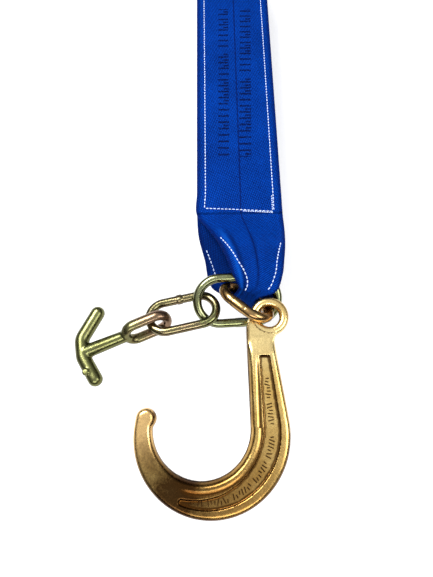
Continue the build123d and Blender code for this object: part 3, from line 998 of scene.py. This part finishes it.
class BRIDLE_OT_hooks(bpy.types.Operator):
    """Forges the two hooks"""

    bl_idname = "bridle.hooks"
    bl_label = "Forge hooks"

    def execute(self, context):
        settings = context.scene.bridle_metal
        rough = settings.roughness
        # The fourth tone is the painted shade
        gold_tones = ((0.72, 0.45, 0.13), (0.8, 0.55, 0.19), (0.62, 0.34, 0.1), (0.075, 0.028, 0.005))
        tone_spots = [
            (SHANK_SPOT, 0.02, 0.05, 0.85, (0.99, 0.77, 0.35)),
            (TIP_SPOT, 0.01, 0.05, 0.8, (0.88, 0.57, 0.24)),
            (BOW_SPOT, 0.02, 0.1, 0.8, (0.25, 0.125, 0.028)),
            (DARKEST_SPOT, 0.016, 0.066, 0.95, (0.035, 0.012, 0.003)),
        ]
        gold = plated_material(
            "chromate_gold", gold_tones, rough + 0.04, 520.0, 0.09, 0.55, 0.93, 0.9, tone_spots
        )
        # Dark plate of the strokes and of the painted shadow bar
        stroke_and_shadow_tones = (
            (0.05, 0.022, 0.006),
            (0.1, 0.05, 0.015),
            (0.05, 0.02, 0.006),
            (0.03, 0.01, 0.003),
        )
        stroke_and_shadow = plated_material("chromate_stroke_and_shadow", stroke_and_shadow_tones, rough + 0.1, 520.0)
        # The fourth tone is the painted shade
        olive_tones = ((0.15, 0.15, 0.055), (0.2, 0.21, 0.085), (0.2, 0.13, 0.07), (0.03, 0.028, 0.008))
        warm = [(T_EYE_SPOT, 0.01, 0.04, 0.85, (0.25, 0.15, 0.1))]
        olive = plated_material(
            "chromate_olive", olive_tones, rough + 0.06, 380.0, 0.09, 0.5, 0.3, 0.3, warm
        )
        hook = reforged("j_hook", settings.voxel, settings.relax, hook_crown)
        dress(hook, gold, "j_hook", ["j_hook"])
        # Painted shade along the bow's valley, the shank's inner edge and the bow's outer rim
        paint_hook_shade(hook)
        t_hook = reforged("t_hook", settings.voxel, settings.relax + 4)
        dress(t_hook, olive, "t_hook", ["t_hook"])
        dress(tick_piece("j_hook_strokes_and_shadow"), stroke_and_shadow, "j_hook")
        return {"FINISHED"}


class BRIDLE_OT_stage(bpy.types.Operator):
    """Sets the floor, the lights and the camera"""

    bl_idname = "bridle.stage"
    bl_label = "Set stage"

    def execute(self, context):
        settings = context.scene.bridle_stage
        far, depth = FLOOR_REACH, settings.floor_depth
        signs = ((-1, -1), (1, -1), (1, 1), (-1, 1))
        corners = np.array([(i * far, j * far, depth) for i, j in signs])
        floor = mesh_object("floor", corners, [(0, 1, 2, 3)], smooth=False)
        floor.data.materials.append(floor_material(settings.floor_shade))
        world = bpy.data.worlds.new("studio")
        world.use_nodes = True
        tree = world.node_tree
        ray = tree.nodes.new("ShaderNodeTexCoord")
        split = tree.nodes.new("ShaderNodeSeparateXYZ")
        ramp = tree.nodes.new("ShaderNodeValToRGB")
        ramp.color_ramp.elements[0].position = 0.3
        ramp.color_ramp.elements[0].color = rgb(0.09, 0.09, 0.1)
        ramp.color_ramp.elements[1].position = 0.97
        ramp.color_ramp.elements[1].color = rgb(0.9, 0.92, 0.95)
        tree.links.new(ray.outputs["Generated"], split.inputs[0])
        tree.links.new(split.outputs[2], ramp.inputs[0])
        paper = tree.nodes.new("ShaderNodeMixRGB")
        paper.inputs["Color2"].default_value = rgb(1.0, 1.0, 1.0)
        path = tree.nodes.new("ShaderNodeLightPath")
        tree.links.new(path.outputs["Is Camera Ray"], paper.inputs["Fac"])
        tree.links.new(ramp.outputs[0], paper.inputs["Color1"])
        tree.links.new(paper.outputs[0], tree.nodes["Background"].inputs["Color"])
        tree.nodes["Background"].inputs["Strength"].default_value = settings.sky
        context.scene.world = world
        for name, place, size, watts in LAMPS:
            light = bpy.data.lights.new(name, "AREA")
            light.shape = "RECTANGLE"
            light.size, light.size_y = size
            light.energy = watts * settings.lamps
            lamp = bpy.data.objects.new(name, light)
            lamp.location = place
            aim = Vector(LAMP_AIM) - Vector(place)
            lamp.rotation_euler = aim.to_track_quat("-Z", "Y").to_euler()
            context.scene.collection.objects.link(lamp)
        context.scene.view_settings.view_transform = "Standard"
        camera = bpy.data.objects.new("camera", bpy.data.cameras.new("camera"))
        camera.data.lens = settings.lens
        camera.data.clip_start = 0.01
        camera.location = CAMERA_PLACE
        aim = Vector(CAMERA_AIM) - camera.location
        camera.rotation_euler = aim.to_track_quat("-Z", "Y").to_euler()
        context.scene.collection.objects.link(camera)
        context.scene.camera = camera
        return {"FINISHED"}


class BRIDLE_PT_panel(bpy.types.Panel):
    bl_idname = "BRIDLE_PT_panel"
    bl_label = "Tow bridle leg"
    bl_space_type = "VIEW_3D"
    bl_region_type = "UI"
    bl_category = "Bridle"

    def draw(self, context):
        scene = context.scene
        for settings in (scene.bridle_web, scene.bridle_metal, scene.bridle_stage):
            for key in settings.bl_rna.properties.keys():
                if key not in ("rna_type", "name"):
                    self.layout.prop(settings, key)
        for step in STEPS:
            self.layout.operator(step.bl_idname)


STEPS = (BRIDLE_OT_webbing, BRIDLE_OT_sewing, BRIDLE_OT_links, BRIDLE_OT_hooks, BRIDLE_OT_stage)
GROUPS = (BridleWebSettings, BridleMetalSettings, BridleStageSettings)


def register():
    for group in GROUPS + STEPS + (BRIDLE_PT_panel,):
        bpy.utils.register_class(group)
    bpy.types.Scene.bridle_web = bpy.props.PointerProperty(type=BridleWebSettings)
    bpy.types.Scene.bridle_metal = bpy.props.PointerProperty(type=BridleMetalSettings)
    bpy.types.Scene.bridle_stage = bpy.props.PointerProperty(type=BridleStageSettings)


def unregister():
    del bpy.types.Scene.bridle_web
    del bpy.types.Scene.bridle_metal
    del bpy.types.Scene.bridle_stage
    for group in reversed(GROUPS + STEPS + (BRIDLE_PT_panel,)):
        bpy.utils.unregister_class(group)


def main():
    """Builds every piece."""
    register()
    bpy.ops.bridle.webbing()
    bpy.ops.bridle.sewing()
    bpy.ops.bridle.links()
    bpy.ops.bridle.hooks()
    bpy.ops.bridle.stage()


if __name__ == "__main__":
    main()
